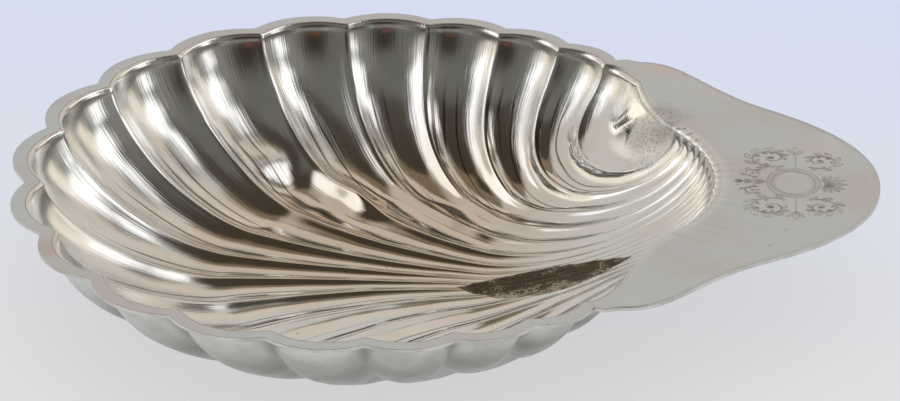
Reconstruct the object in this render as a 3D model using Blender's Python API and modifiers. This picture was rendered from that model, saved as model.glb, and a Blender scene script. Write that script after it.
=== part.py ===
"""A scallop-shell bonbon bowl, stamped from one sheet of silver.

The bowl is a fan of flutes. Each flute leaves a short curved hinge square to it, swirls across
the flat floor, climbs the wall and meets the mouth square to it. The sheet then rolls over into
a narrow scalloped flange, which widens at the hinge into a flat bell-shaped tab to hold.

Metres, +Z up, the tab towards +X. The origin lies on the table, under the middle of the box
that holds the dish. Inside the script, lengths along X are measured from the mouth's centre.
"""

import math

import bmesh
import bpy
import numpy as np
from mathutils import Vector
from mathutils.geometry import interpolate_bezier

MM = 0.001

# The sheet.
SHEET_THICKNESS = 0.55 * MM
FOOT_FLAT = 0.15 * MM

# The mouth: an ellipse through the crests of the lobes, open on the hinge side.
MOUTH_HALF_LENGTH = 58.5 * MM
MOUTH_HALF_WIDTH = 65.5 * MM
BOWL_DEPTH = 21.2 * MM
BEND_RADIUS = 1.0 * MM
FLANGE_WIDTH = 3.4 * MM

# The flutes. The lobes are widest at the front and crowd together towards the hinge.
FLUTE_COUNT = 19
FLUTE_HEIGHT_SHARE = 0.15
FRONT_LOBE_ANGLE = math.radians(23.1)
CROWDING_ANGLE = math.radians(67.7)
CROWDING_POWER = 1.67
END_POCKET_SHARE = 0.2

# The wall and the rise to the hinge are quarters of a superellipse.
WALL_RUN = 37.6 * MM
WALL_RUN_SWING = -0.14
WALL_POWER = 1.6
HINGE_RUN = 40.3 * MM
HINGE_POWER = 1.8

# How far each flute keeps straight before it turns, as a share of its chord.
MOUTH_PULL = 0.414
MOUTH_PULL_SWING = -0.9
HINGE_PULL = 0.353
HINGE_PULL_SWING = 0.95

# The hinge: an arc round the root of the tab.
HINGE_REACH = 58.9 * MM
HINGE_RADIUS = 34.2 * MM
HINGE_PITCH = 2.48 * MM

# The tab: a broad shoulder, a waist that falls at an angle, and a round tip.
TAB_REACH = 87.0 * MM
SHOULDER_REACH = 45.3 * MM
SHOULDER_HALF_WIDTH = 49.9 * MM
WAIST_REACH = 67.8 * MM
WAIST_HALF_WIDTH = 30.7 * MM
WAIST_ANGLE = math.radians(-33.8)
NOTCH_PULL = 3.0 * MM
SHOULDER_PULL = 7.7 * MM
WAIST_PULL_IN = 13.7 * MM
WAIST_PULL_OUT = 12.0 * MM
TIP_PULL = 14.6 * MM

# Steps of the mesh.
STEPS_PER_FLUTE = 6
ROWS = 16
BEND_STEPS = 2
SAMPLES_PER_ROW = 12
CURVE_STEPS = 60

RIM_HEIGHT = BOWL_DEPTH + SHEET_THICKNESS - FOOT_FLAT
BOX_MIDDLE = (TAB_REACH - MOUTH_HALF_LENGTH - FLANGE_WIDTH) / 2
MERGE_DISTANCE = 0.01 * MM
SHARP_ANGLE = math.radians(50)

SILVER_COLOUR = (0.82, 0.80, 0.76, 1.0)
SILVER_ROUGHNESS = 0.18


def unit(vectors):
    """Scale every vector of an array to length one."""
    return vectors / np.linalg.norm(vectors, axis=-1, keepdims=True)


def lobe_angle(flute):
    """Angle from the front, round the mouth's centre, of a place in the fan of flutes.

    The fan is counted from 0 at the +Y shoulder to FLUTE_COUNT at the -Y one. Whole numbers
    are the ridges between two flutes.
    """
    from_front = FLUTE_COUNT / 2 - flute
    last_ridge = FLUTE_COUNT / 2 - 1
    crowding = CROWDING_ANGLE * (np.abs(from_front) / last_ridge) ** CROWDING_POWER
    return np.sign(from_front) * (FRONT_LOBE_ANGLE * np.abs(from_front) - crowding)


def mouth_point(flute):
    """Plan point on the mouth's ellipse, with the outward normal there."""
    angle = lobe_angle(flute)
    ray = np.stack([-np.cos(angle), np.sin(angle)], axis=-1)
    axes = np.array([MOUTH_HALF_LENGTH, MOUTH_HALF_WIDTH])
    point = ray / np.linalg.norm(ray / axes, axis=-1, keepdims=True)
    return point, unit(point / axes ** 2)


def hinge_point(flute):
    """Plan point on the hinge arc, with the normal that points out towards the tab."""
    across = (FLUTE_COUNT / 2 - flute) * HINGE_PITCH
    turn = np.arcsin(across / HINGE_RADIUS)
    normal = np.stack([np.cos(turn), np.sin(turn)], axis=-1)
    centre = np.array([HINGE_REACH - HINGE_RADIUS, 0.0])
    return centre + HINGE_RADIUS * normal, normal


def bezier(start, start_handle, end_handle, end, share):
    """Points of a cubic between plan points, for an array of shares from 0 to 1."""
    share = share[..., None]
    return (start * (1 - share) ** 3 + 3 * start_handle * share * (1 - share) ** 2
            + 3 * end_handle * share ** 2 * (1 - share) + end * share ** 3)


def section_drop(distance, run, power):
    """Share of the full depth at a distance in from an edge."""
    return (1 - (1 - np.clip(distance / run, 0, 1)) ** power) ** (1 / power)


def spread_evenly(curve, count):
    """Resample one curve to count + 1 points, equally spaced along its length."""
    steps = np.linalg.norm(np.diff(curve, axis=0), axis=1)
    length = np.concatenate([[0.0], np.cumsum(steps)])
    places = np.linspace(0, length[-1], count + 1)
    return np.stack([np.interp(places, length, values) for values in curve.T], axis=-1)


def flute_line(flute, count):
    """Line along the bottom of the fan at one place, from the mouth to the hinge."""
    mouth, mouth_normal = mouth_point(flute)
    hinge, hinge_normal = hinge_point(flute)
    chord = np.linalg.norm(hinge - mouth)
    frontness = np.cos(lobe_angle(flute))
    mouth_pull = MOUTH_PULL * (1 + MOUTH_PULL_SWING * frontness) * chord
    hinge_pull = HINGE_PULL * (1 + HINGE_PULL_SWING * frontness) * chord
    share = (1 - np.cos(np.linspace(0, math.pi, CURVE_STEPS * ROWS + 1))) / 2
    plan = bezier(mouth, mouth - mouth_normal * mouth_pull,
                  hinge - hinge_normal * hinge_pull, hinge, share)
    steps = np.linalg.norm(np.diff(plan, axis=0), axis=1)
    from_mouth = np.concatenate([[0.0], np.cumsum(steps)])
    from_hinge = from_mouth[-1] - from_mouth
    wall_run = WALL_RUN * (1 + WALL_RUN_SWING * frontness)
    depth = (BOWL_DEPTH - BEND_RADIUS) * section_drop(from_mouth, wall_run, WALL_POWER)
    depth = depth * section_drop(from_hinge, HINGE_RUN, HINGE_POWER)
    height = RIM_HEIGHT - BEND_RADIUS - depth
    return spread_evenly(np.column_stack([plan, height]), count)


def inward_normals(surface, flutes):
    """Unit normals of a surface of flute lines, on the side that faces into the bowl."""
    across = np.gradient(surface, flutes, axis=0)
    along = np.gradient(surface, axis=1)
    normals = unit(np.cross(across, along))
    return normals, np.linalg.norm(across, axis=-1)


def fan_of_flutes():
    """Upper face of the fan's +Y half, from its last ridge to the front, row by row."""
    flutes = np.linspace(1, FLUTE_COUNT / 2, int((FLUTE_COUNT / 2 - 1) * STEPS_PER_FLUTE) + 1)
    count = ROWS * SAMPLES_PER_ROW
    surface = np.stack([flute_line(flute, count) for flute in flutes])
    normals, flute_width = inward_normals(surface, flutes)
    from_bottom = 2 * (np.arange(len(flutes)) % STEPS_PER_FLUTE) / STEPS_PER_FLUTE - 1
    rise = FLUTE_HEIGHT_SHARE * flute_width * from_bottom[:, None] ** 2
    fan = (surface + normals * rise[..., None])[:, ::SAMPLES_PER_ROW]
    fan[:, [0, -1], 2] = RIM_HEIGHT - BEND_RADIUS
    return fan


def shoulder_edge(last_ridge):
    """Edge of the bowl along the tab's shoulder, from the mouth to the end of the hinge."""
    mouth, mouth_normal = mouth_point(0.0)
    hinge, hinge_normal = hinge_point(0.0)
    inset = FLUTE_HEIGHT_SHARE * np.linalg.norm(mouth - mouth_point(1.0)[0])
    mouth = mouth - mouth_normal * inset
    pull = np.linalg.norm(mouth - hinge) / 3
    along_hinge = np.array([-hinge_normal[1], hinge_normal[0]])
    plan = bezier(mouth, mouth - np.array([0.0, pull]), hinge + along_hinge * pull, hinge,
                  np.linspace(0, 1, CURVE_STEPS + 1))
    height = np.full(len(plan), RIM_HEIGHT - BEND_RADIUS)
    return spread_evenly(np.column_stack([plan, height]), len(last_ridge) - 1)


def end_pocket(last_ridge):
    """Upper face of the wide pocket between the last ridge and the tab's shoulder."""
    edge = shoulder_edge(last_ridge)
    share = np.linspace(0, 1, STEPS_PER_FLUTE + 1)[:-1, None, None]
    surface = edge * (1 - share) + last_ridge * share
    across = last_ridge - edge
    width = np.linalg.norm(across, axis=-1, keepdims=True)
    normals = unit(np.cross(across, np.gradient(last_ridge, axis=0)))
    hollow = END_POCKET_SHARE * 4 * share * (1 - share)
    return surface - normals * width * hollow


def tab_outline(start, count):
    """Half outline of the tab, from the flange's last notch to the tip on the axis."""
    waist_turn = Vector((math.cos(WAIST_ANGLE), math.sin(WAIST_ANGLE)))
    notch = Vector(start)
    shoulder = Vector((SHOULDER_REACH, SHOULDER_HALF_WIDTH))
    waist = Vector((WAIST_REACH, WAIST_HALF_WIDTH))
    tip = Vector((TAB_REACH, 0.0))
    spans = [
        (notch, notch + Vector((NOTCH_PULL, NOTCH_PULL / 2)),
         shoulder - Vector((NOTCH_PULL, 0.0)), shoulder),
        (shoulder, shoulder + Vector((SHOULDER_PULL, 0.0)),
         waist - waist_turn * WAIST_PULL_IN, waist),
        (waist, waist + waist_turn * WAIST_PULL_OUT,
         tip + Vector((0.0, TIP_PULL)), tip),
    ]
    points = [notch]
    for span in spans:
        points += interpolate_bezier(*span, CURVE_STEPS)[1:]
    return spread_evenly(np.array([point[:2] for point in points]), count)


def bowl_edge(bowl):
    """Edge of the half bowl, from the front round to the hinge, with outward plan normals."""
    rim = bowl[::-1, 0]
    shoulder = bowl[0, 1:-1]
    hinge = bowl[:, -1]
    flutes = np.linspace(0, FLUTE_COUNT / 2, len(bowl))
    rim_normals = mouth_point(flutes)[1][::-1]
    hinge_normals = hinge_point(flutes)[1]
    share = np.linspace(0, 1, len(shoulder) + 2)[1:-1, None]
    shoulder_normals = unit(rim_normals[-1] * (1 - share) + hinge_normals[0] * share)
    return (np.concatenate([rim, shoulder, hinge]),
            np.concatenate([rim_normals, shoulder_normals, hinge_normals]))


def flange_and_tab(bowl):
    """Rolled edge, flange and tab of the +Y half, from the bowl's edge to the outline."""
    edge, normals = bowl_edge(bowl)
    plan = edge[:, :2]
    rows = [edge]
    for step in range(1, BEND_STEPS + 1):
        turn = math.pi / 2 * step / BEND_STEPS
        rolled = plan + normals * BEND_RADIUS * (1 - math.cos(turn))
        rise = np.full(len(edge), BEND_RADIUS * math.sin(turn))
        rows.append(np.column_stack([rolled, edge[:, 2] + rise]))
    outline = plan + normals * FLANGE_WIDTH
    notch = len(bowl) - 1 - STEPS_PER_FLUTE
    outline[notch:] = tab_outline(outline[notch], len(edge) - 1 - notch)
    rows.append(np.column_stack([outline, np.full(len(edge), RIM_HEIGHT)]))
    return np.stack(rows, axis=1)


def add_grid(mesh, points):
    """Lay a grid of quads over an array of points."""
    columns, rows = points.shape[:2]
    grid = bmesh.ops.create_grid(mesh, x_segments=columns - 1, y_segments=rows - 1, size=1.0)
    for vertex, point in zip(grid["verts"], points.transpose(1, 0, 2).reshape(-1, 3)):
        vertex.co = point


def sheet_surface():
    """Mesh of the upper face of the dish's +Y half."""
    fan = fan_of_flutes()
    bowl = np.concatenate([end_pocket(fan[0]), fan])
    bowl[-1, :, 1] = 0.0
    sheet = flange_and_tab(bowl)
    sheet[[0, -1], :, 1] = 0.0
    mesh = bmesh.new()
    add_grid(mesh, bowl)
    add_grid(mesh, sheet)
    bmesh.ops.remove_doubles(mesh, verts=mesh.verts, dist=MERGE_DISTANCE)
    bmesh.ops.recalc_face_normals(mesh, faces=mesh.faces)
    if sum(face.normal.z for face in mesh.faces) < 0:
        bmesh.ops.reverse_faces(mesh, faces=mesh.faces)
    bmesh.ops.translate(mesh, verts=mesh.verts, vec=(-BOX_MIDDLE, 0.0, 0.0))
    data = bpy.data.meshes.new("shell_dish")
    mesh.to_mesh(data)
    mesh.free()
    return data


def silver():
    """Polished silver with the faint yellow of a piece in use."""
    material = bpy.data.materials.new("polished_silver")
    material.use_nodes = True
    shader = material.node_tree.nodes["Principled BSDF"]
    shader.inputs["Base Color"].default_value = SILVER_COLOUR
    shader.inputs["Metallic"].default_value = 1.0
    shader.inputs["Roughness"].default_value = SILVER_ROUGHNESS
    material.diffuse_color = SILVER_COLOUR
    return material


def planish_foot(data):
    """Level the lowest stretch of the underside, where the dish stands on the table."""
    for vertex in data.vertices:
        vertex.co.z = max(vertex.co.z, 0.0)


def shell_dish(collection):
    """The whole dish, one piece of sheet."""
    dish = bpy.data.objects.new("shell_dish", sheet_surface())
    collection.objects.link(dish)
    mirror = dish.modifiers.new("other_half", "MIRROR")
    mirror.use_axis = (False, True, False)
    mirror.use_clip = True
    mirror.merge_threshold = MERGE_DISTANCE
    sheet = dish.modifiers.new("sheet", "SOLIDIFY")
    sheet.thickness = SHEET_THICKNESS
    sheet.offset = -1.0
    sheet.use_even_offset = True
    sheet.use_quality_normals = True
    evaluated = dish.evaluated_get(bpy.context.evaluated_depsgraph_get())
    data = bpy.data.meshes.new_from_object(evaluated)
    dish.modifiers.clear()
    dish.data = data
    planish_foot(data)
    data.shade_smooth()
    data.set_sharp_from_angle(angle=SHARP_ANGLE)
    data.materials.append(silver())
    return dish


def main():
    for old in list(bpy.data.objects):
        bpy.data.objects.remove(old, do_unlink=True)
    collection = bpy.data.collections.new("shell_bonbon_bowl")
    bpy.context.scene.collection.children.link(collection)
    shell_dish(collection)


main()
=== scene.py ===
"""Looks of a scallop-shell bonbon bowl in polished silver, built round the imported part.

The shell is laid out again from the part's own sizes, with finer steps, rounded ridges and the
small unevenness of hand finishing. A scroll ornament is cut into the tab. Metres, +Z up, the tab
towards +X. Plan sizes along X are measured from the mouth's centre, as in the part's source.
"""

import logging
import math
from dataclasses import dataclass, replace
from enum import Enum

import bmesh
import bpy
import numpy as np
from mathutils import Matrix, Vector


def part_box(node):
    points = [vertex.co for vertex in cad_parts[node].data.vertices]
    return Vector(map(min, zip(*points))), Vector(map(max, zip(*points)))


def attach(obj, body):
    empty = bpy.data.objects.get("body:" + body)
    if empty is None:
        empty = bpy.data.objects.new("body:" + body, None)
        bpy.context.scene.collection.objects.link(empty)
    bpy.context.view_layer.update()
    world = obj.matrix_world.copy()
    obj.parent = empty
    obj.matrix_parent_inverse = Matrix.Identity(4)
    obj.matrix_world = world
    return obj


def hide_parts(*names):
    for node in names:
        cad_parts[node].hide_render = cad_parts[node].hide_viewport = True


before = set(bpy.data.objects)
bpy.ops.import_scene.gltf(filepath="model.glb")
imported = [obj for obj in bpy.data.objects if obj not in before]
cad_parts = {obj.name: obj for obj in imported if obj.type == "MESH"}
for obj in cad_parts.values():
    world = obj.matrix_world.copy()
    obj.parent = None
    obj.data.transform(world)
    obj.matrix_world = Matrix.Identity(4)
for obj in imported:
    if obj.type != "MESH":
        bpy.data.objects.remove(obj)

MM = 0.001
BODY = "root"
NODE = "shell_dish"
LOG = logging.getLogger("shell_bonbon_bowl")

Pair = tuple[float, float]
Xyz = tuple[float, float, float]
Rgba = tuple[float, float, float, float]
Socket = bpy.types.NodeSocket
Feed = Socket | float | tuple[float, ...]


def unit(vectors: np.ndarray) -> np.ndarray:
    """Scale every vector of an array to length one."""
    return vectors / np.linalg.norm(vectors, axis=-1, keepdims=True)


def directions(angle: np.ndarray) -> np.ndarray:
    """Plan directions at angles from +X."""
    return np.stack([np.cos(angle), np.sin(angle)], axis=-1)


def left_of(ways: np.ndarray) -> np.ndarray:
    """Plan directions a quarter turn to the left of others."""
    return np.stack([-ways[..., 1], ways[..., 0]], axis=-1)


def bezier(start: np.ndarray, start_handle: np.ndarray, end_handle: np.ndarray,
           end: np.ndarray, share: np.ndarray) -> np.ndarray:
    """Points of a cubic curve between plan points.

    Args:
        start: First point.
        start_handle: Handle of the first point.
        end_handle: Handle of the last point.
        end: Last point.
        share: Places along the curve, from 0 to 1.

    Returns:
        One point for each place.
    """
    share = share[..., None]
    return (start * (1 - share) ** 3 + 3 * start_handle * share * (1 - share) ** 2
            + 3 * end_handle * share ** 2 * (1 - share) + end * share ** 3)


def spread_evenly(curve: np.ndarray, places: np.ndarray) -> np.ndarray:
    """Resample a curve at shares of its length.

    Args:
        curve: Points of the curve, one a row.
        places: Shares of the length, from 0 to 1.

    Returns:
        One point for each place.
    """
    steps = np.linalg.norm(np.diff(curve, axis=0), axis=1)
    length = np.concatenate([[0.0], np.cumsum(steps)])
    return np.stack([np.interp(places * length[-1], length, values) for values in curve.T],
                    axis=-1)


def screen_colour(red: int, green: int, blue: int) -> Rgba:
    """Linear colour of a screen's eight-bit values.

    Args:
        red: Red.
        green: Green.
        blue: Blue.

    Returns:
        The colour, with nothing see-through.
    """
    shares = [value / 255 for value in (red, green, blue)]
    linear = [share / 12.92 if share <= 0.04045 else ((share + 0.055) / 1.055) ** 2.4
              for share in shares]
    return (*linear, 1.0)


def map_places(across: np.ndarray, along: np.ndarray) -> np.ndarray:
    """Places in a map for a grid's points, by column and row."""
    return np.stack(np.meshgrid(across, along, indexing="ij"), axis=-1)


def add_grid(mesh: bmesh.types.BMesh, uv: bmesh.types.BMLayerItem, grid: np.ndarray,
             places: np.ndarray) -> None:
    """Lay a grid of quads over an array of points.

    Args:
        mesh: Mesh to add to.
        uv: The map's layer.
        grid: Points, by column and row.
        places: Map places of the same points.
    """
    verts = [[mesh.verts.new(point) for point in column] for column in grid]
    for column in range(grid.shape[0] - 1):
        for row in range(grid.shape[1] - 1):
            corners = ((column, row), (column + 1, row), (column + 1, row + 1),
                       (column, row + 1))
            face = mesh.faces.new([verts[c][r] for c, r in corners])
            for loop, corner in zip(face.loops, corners):
                loop[uv].uv = places[corner]


@dataclass(frozen=True)
class HandFinish:
    """The low waves that planishing and buffing leave in a sheet."""

    seed: int
    height: float
    wavelength: float
    waves: int = 14

    def rise(self, points: np.ndarray) -> np.ndarray:
        """Height of the waves at points in space.

        Args:
            points: Points, one a row of the last axis.

        Returns:
            A height for each point, along the sheet's normal.
        """
        random = np.random.default_rng(self.seed)
        directions = unit(random.normal(size=(self.waves, 3)))
        lengths = self.wavelength * random.uniform(0.6, 1.7, self.waves)
        phases = random.uniform(0, math.tau, self.waves)
        turns = points @ (directions / lengths[:, None] * math.tau).T + phases
        return np.sin(turns).sum(axis=-1) * self.height / math.sqrt(self.waves)


@dataclass(frozen=True)
class Knock:
    """A knock on the sheet, with a soft oval edge."""

    centre: Pair
    heading: float
    reach_along: float
    reach_across: float
    depth: float

    def applied(self, points: np.ndarray) -> np.ndarray:
        """Move points as the knock did.

        Args:
            points: Points, one a row of the last axis.

        Returns:
            The moved points.
        """
        along = directions(self.heading)
        across = left_of(along)
        offset = points[..., :2] - np.array(self.centre)
        share = np.exp(-0.5 * ((offset @ along / self.reach_along) ** 2
                               + (offset @ across / self.reach_across) ** 2))
        return points - share[..., None] * np.array([0.0, 0.0, self.depth])


@dataclass
class ShellSheet:
    """The stamped sheet: fluted bowl, rolled mouth, scalloped flange and flat tab."""

    name: str = "fluted_shell"
    sheet_thickness: float = 0.55 * MM
    foot_flat: float = 0.15 * MM
    mouth_half_length: float = 58.5 * MM
    mouth_half_width: float = 65.5 * MM
    bowl_depth: float = 21.2 * MM
    bend_radius: float = 1.0 * MM
    flange_width: float = 3.4 * MM
    flute_count: int = 19
    flute_height_share: float = 0.15
    front_lobe_angle: float = math.radians(23.1)
    crowding_angle: float = math.radians(67.7)
    crowding_power: float = 1.67
    end_pocket_share: float = 0.1
    pocket_lobe_share: float = 0.08
    pocket_lobe_rows: float = 0.15
    pocket_smooth_rows: int = 21
    shoulder_pull_share: float = 0.12
    wall_run: float = 37.6 * MM
    wall_run_swing: float = -0.14
    wall_power: float = 1.6
    hinge_run: float = 40.3 * MM
    hinge_power: float = 1.6
    mouth_pull: float = 0.414
    mouth_pull_swing: float = -0.9
    hinge_pull: float = 0.353
    hinge_pull_swing: float = 0.95
    hinge_reach: float = 58.9 * MM
    hinge_radius: float = 34.2 * MM
    hinge_pitch: float = 2.48 * MM
    tab_reach: float = 87.0 * MM
    shoulder: Pair = (45.3 * MM, 49.9 * MM)
    waist: Pair = (67.8 * MM, 30.7 * MM)
    waist_angle: float = math.radians(-33.8)
    notch_pull: float = 3.0 * MM
    shoulder_pull: float = 7.7 * MM
    waist_pull_in: float = 13.7 * MM
    waist_pull_out: float = 12.0 * MM
    tip_pull: float = 14.6 * MM
    swirl_bottom: float = 0.44
    swirl_power: float = 3.2
    swirl_rows: Pair = (0.02, 0.14)
    ridge_round: float = 0.16
    rim_ridge_round: float = 0.05
    rim_round_end: float = 0.12
    relief_loss: float = 0.55
    relief_place_front: float = 0.66
    relief_place_side: float = 0.94
    relief_fade: float = 0.2
    relief_return: float = 0.5
    hinge_start: float = 0.88
    worn_from: float = 10.2
    worn_fade: float = 2.0
    worn_rows: Pair = (0.2, 0.4)
    worn_loss: float = 0.28
    half_flute_places: tuple[float, ...] = (0.0, 0.2, 0.4, 0.58, 0.72, 0.84, 0.92, 0.97)
    rows: int = 96
    wave_fade_rows: int = 6
    curve_points: int = 1200
    shoulder_points: int = 121
    outline_points: int = 120
    ring_rows: Pair = (-0.2, -0.01)
    bend_steps: int = 6
    flange_steps: int = 12
    edge_round: float = 0.12 * MM
    merge_distance: float = 0.002 * MM
    sheet_sink: float = 0.03 * MM
    sharp_angle: float = math.radians(50)
    knocks: tuple[Knock, ...] = (
        Knock((-5.4 * MM, 29.8 * MM), math.radians(-50), 5.0 * MM, 2.3 * MM, -1.9 * MM),
        Knock((-17.4 * MM, 33.4 * MM), 0.0, 2.7 * MM, 2.7 * MM, 0.7 * MM),
        Knock((-21.9 * MM, 37.1 * MM), 0.0, 3.0 * MM, 3.0 * MM, -1.5 * MM),
    )
    bowl_waves: HandFinish = HandFinish(seed=7, height=0.035 * MM, wavelength=9 * MM)
    tab_waves: HandFinish = HandFinish(seed=11, height=0.008 * MM, wavelength=24 * MM)

    @property
    def rim_height(self) -> float:
        """Height of the flange's upper face over the table."""
        return self.bowl_depth + self.sheet_thickness - self.foot_flat

    @property
    def box_middle(self) -> float:
        """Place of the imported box's middle along X, from the mouth's centre."""
        return (self.tab_reach - self.mouth_half_length - self.flange_width) / 2

    def lobe_angle(self, flute: np.ndarray) -> np.ndarray:
        """Angle from the front of places in the fan, counted from 0 at the +Y shoulder.

        Args:
            flute: Places in the fan.

        Returns:
            An angle for each place.
        """
        from_front = self.flute_count / 2 - flute
        last_ridge = self.flute_count / 2 - 1
        crowding = self.crowding_angle * (np.abs(from_front) / last_ridge) ** self.crowding_power
        return np.sign(from_front) * (self.front_lobe_angle * np.abs(from_front) - crowding)

    def mouth_point(self, flute: np.ndarray) -> tuple[np.ndarray, np.ndarray]:
        """Plan points on the mouth's ellipse, with the outward normals there.

        Args:
            flute: Places in the fan.

        Returns:
            The points and the normals.
        """
        angle = self.lobe_angle(flute)
        ray = np.stack([-np.cos(angle), np.sin(angle)], axis=-1)
        axes = np.array([self.mouth_half_length, self.mouth_half_width])
        point = ray / np.linalg.norm(ray / axes, axis=-1, keepdims=True)
        return point, unit(point / axes ** 2)

    def hinge_point(self, flute: np.ndarray) -> tuple[np.ndarray, np.ndarray]:
        """Plan points on the hinge arc, with the normals that point out towards the tab.

        Args:
            flute: Places in the fan.

        Returns:
            The points and the normals.
        """
        across = (self.flute_count / 2 - flute) * self.hinge_pitch
        turn = np.arcsin(across / self.hinge_radius)
        normal = directions(turn)
        centre = np.array([self.hinge_reach - self.hinge_radius, 0.0])
        return centre + self.hinge_radius * normal, normal

    def flute_places(self) -> np.ndarray:
        """Places across one flute from 0 to 1, closest together beside its two ridges."""
        half = np.array(self.half_flute_places)
        return (np.concatenate([-half[:0:-1], half]) + 1) / 2

    def flute_line(self, flute: float, rows: np.ndarray) -> np.ndarray:
        """Line along the bottom of the fan at one place.

        Args:
            flute: Place in the fan.
            rows: Shares of the line's length, from the mouth to the hinge.

        Returns:
            Points of the line.
        """
        mouth, mouth_normal = self.mouth_point(flute)
        hinge, hinge_normal = self.hinge_point(flute)
        chord = np.linalg.norm(hinge - mouth)
        frontness = np.cos(self.lobe_angle(flute))
        mouth_pull = self.mouth_pull * (1 + self.mouth_pull_swing * frontness) * chord
        hinge_pull = self.hinge_pull * (1 + self.hinge_pull_swing * frontness) * chord
        share = (1 - np.cos(np.linspace(0, math.pi, self.curve_points + 1))) / 2
        plan = bezier(mouth, mouth - mouth_normal * mouth_pull,
                      hinge - hinge_normal * hinge_pull, hinge, share)
        steps = np.linalg.norm(np.diff(plan, axis=0), axis=1)
        from_mouth = np.concatenate([[0.0], np.cumsum(steps)])
        from_hinge = from_mouth[-1] - from_mouth
        wall_run = self.wall_run * (1 + self.wall_run_swing * frontness)
        depth = (self.bowl_depth - self.bend_radius) * self.section_drop(
            from_mouth, wall_run, self.wall_power)
        depth = depth * self.section_drop(from_hinge, self.hinge_run, self.hinge_power)
        height = self.rim_height - self.bend_radius - depth
        return spread_evenly(np.column_stack([plan, height]), rows)

    @staticmethod
    def section_drop(distance: np.ndarray, run: float, power: float) -> np.ndarray:
        """Share of the full depth at a distance in from an edge."""
        return (1 - (1 - np.clip(distance / run, 0, 1)) ** power) ** (1 / power)

    def ridge_profile(self, flutes: np.ndarray, rows: np.ndarray) -> np.ndarray:
        """Rise across the flutes from 0 at their bottoms, with rounded ridges.

        The flutes lean with the swirl: one side is steep, the other flat as far as the ridge.

        Args:
            flutes: Places in the fan.
            rows: Places from the mouth, at 0, to the hinge, at 1.

        Returns:
            A rise for each place and row, in shares of a flute's full relief.
        """
        across = (flutes - np.floor(flutes))[:, None]
        even = np.abs(2 * across - 1)
        bottom = self.swirl_bottom
        leaning = np.where(across < bottom, 1 - across / bottom,
                           (np.clip(across - bottom, 0, None) / (1 - bottom))
                           ** (self.swirl_power / 2))
        leaned = np.interp(rows, self.swirl_rows, [0, 1])
        from_bottom = even * (1 - leaned) + leaning * leaned
        ridge_round = np.interp(rows, [0, self.rim_round_end],
                                [self.rim_ridge_round, self.ridge_round])
        past = np.clip(from_bottom - (1 - ridge_round), 0, None)
        return (from_bottom ** 2 - past ** 2 / ridge_round) * self.relief(flutes, rows)

    def relief(self, flutes: np.ndarray, rows: np.ndarray) -> np.ndarray:
        """Share of the full relief that is left where the flutes run out towards the hinge.

        Args:
            flutes: Places in the fan.
            rows: Places from the mouth, at 0, to the hinge, at 1.

        Returns:
            A share for each place and row.
        """
        side = np.abs(self.flute_count / 2 - flutes)[:, None] / (self.flute_count / 2)
        place = self.relief_place_front + side * (self.relief_place_side
                                                  - self.relief_place_front)
        loss = np.clip((rows - place + self.relief_fade) / self.relief_fade, 0, 1)
        back = np.clip((rows - self.hinge_start) / (1 - self.hinge_start), 0, 1)
        loss = loss * loss * (3 - 2 * loss) * (1 - self.relief_return * back)
        near = np.clip((flutes - self.worn_from) / self.worn_fade, 0, 1)[:, None]
        worn = near * np.interp(rows, self.worn_rows, [0, self.worn_loss])
        return (1 - self.relief_loss * loss) * (1 - worn)

    def fan_of_flutes(self) -> tuple[np.ndarray, np.ndarray]:
        """Upper face of the fan, and the places of its columns.

        Returns:
            Points by column and row, and a place for each column.
        """
        across = self.flute_places()
        whole = np.arange(1, self.flute_count // 2)
        middle = self.flute_count // 2 + across[across <= 0.5]
        half = np.concatenate([(whole[:, None] + across).ravel(), middle])
        rows = np.linspace(0, 1, self.rows + 1)
        surface = np.stack([self.flute_line(flute, rows) for flute in half])
        surface[-1, :, 1] = 0.0
        surface = self.both_halves(surface)
        flutes = np.concatenate([half, self.flute_count - half[-2::-1]])
        across = np.gradient(surface, flutes, axis=0)
        along = np.gradient(surface, axis=1)
        normals = unit(np.cross(across, along))
        flute_width = np.linalg.norm(across, axis=-1)
        rise = self.flute_height_share * flute_width * self.ridge_profile(flutes, rows)
        fan = surface + normals * rise[..., None]
        fan[:, [0, -1], 2] = self.rim_height - self.bend_radius
        return fan, flutes

    def shoulder_edge(self, last_ridge: np.ndarray) -> np.ndarray:
        """Edge of the bowl along the tab's shoulder, from the mouth to the end of the hinge.

        Args:
            last_ridge: Points along the fan's last ridge.

        Returns:
            As many points of the edge.
        """
        mouth, mouth_normal = self.mouth_point(0.0)
        hinge, hinge_normal = self.hinge_point(0.0)
        inset = self.flute_height_share * np.linalg.norm(mouth - self.mouth_point(1.0)[0])
        mouth = mouth - mouth_normal * inset
        pull = np.linalg.norm(mouth - hinge) * self.shoulder_pull_share
        plan = bezier(mouth, mouth - np.array([0.0, pull]),
                      hinge + left_of(hinge_normal) * pull, hinge,
                      np.linspace(0, 1, self.shoulder_points))
        height = np.full(len(plan), self.rim_height - self.bend_radius)
        return spread_evenly(np.column_stack([plan, height]), np.linspace(0, 1, len(last_ridge)))

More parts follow.
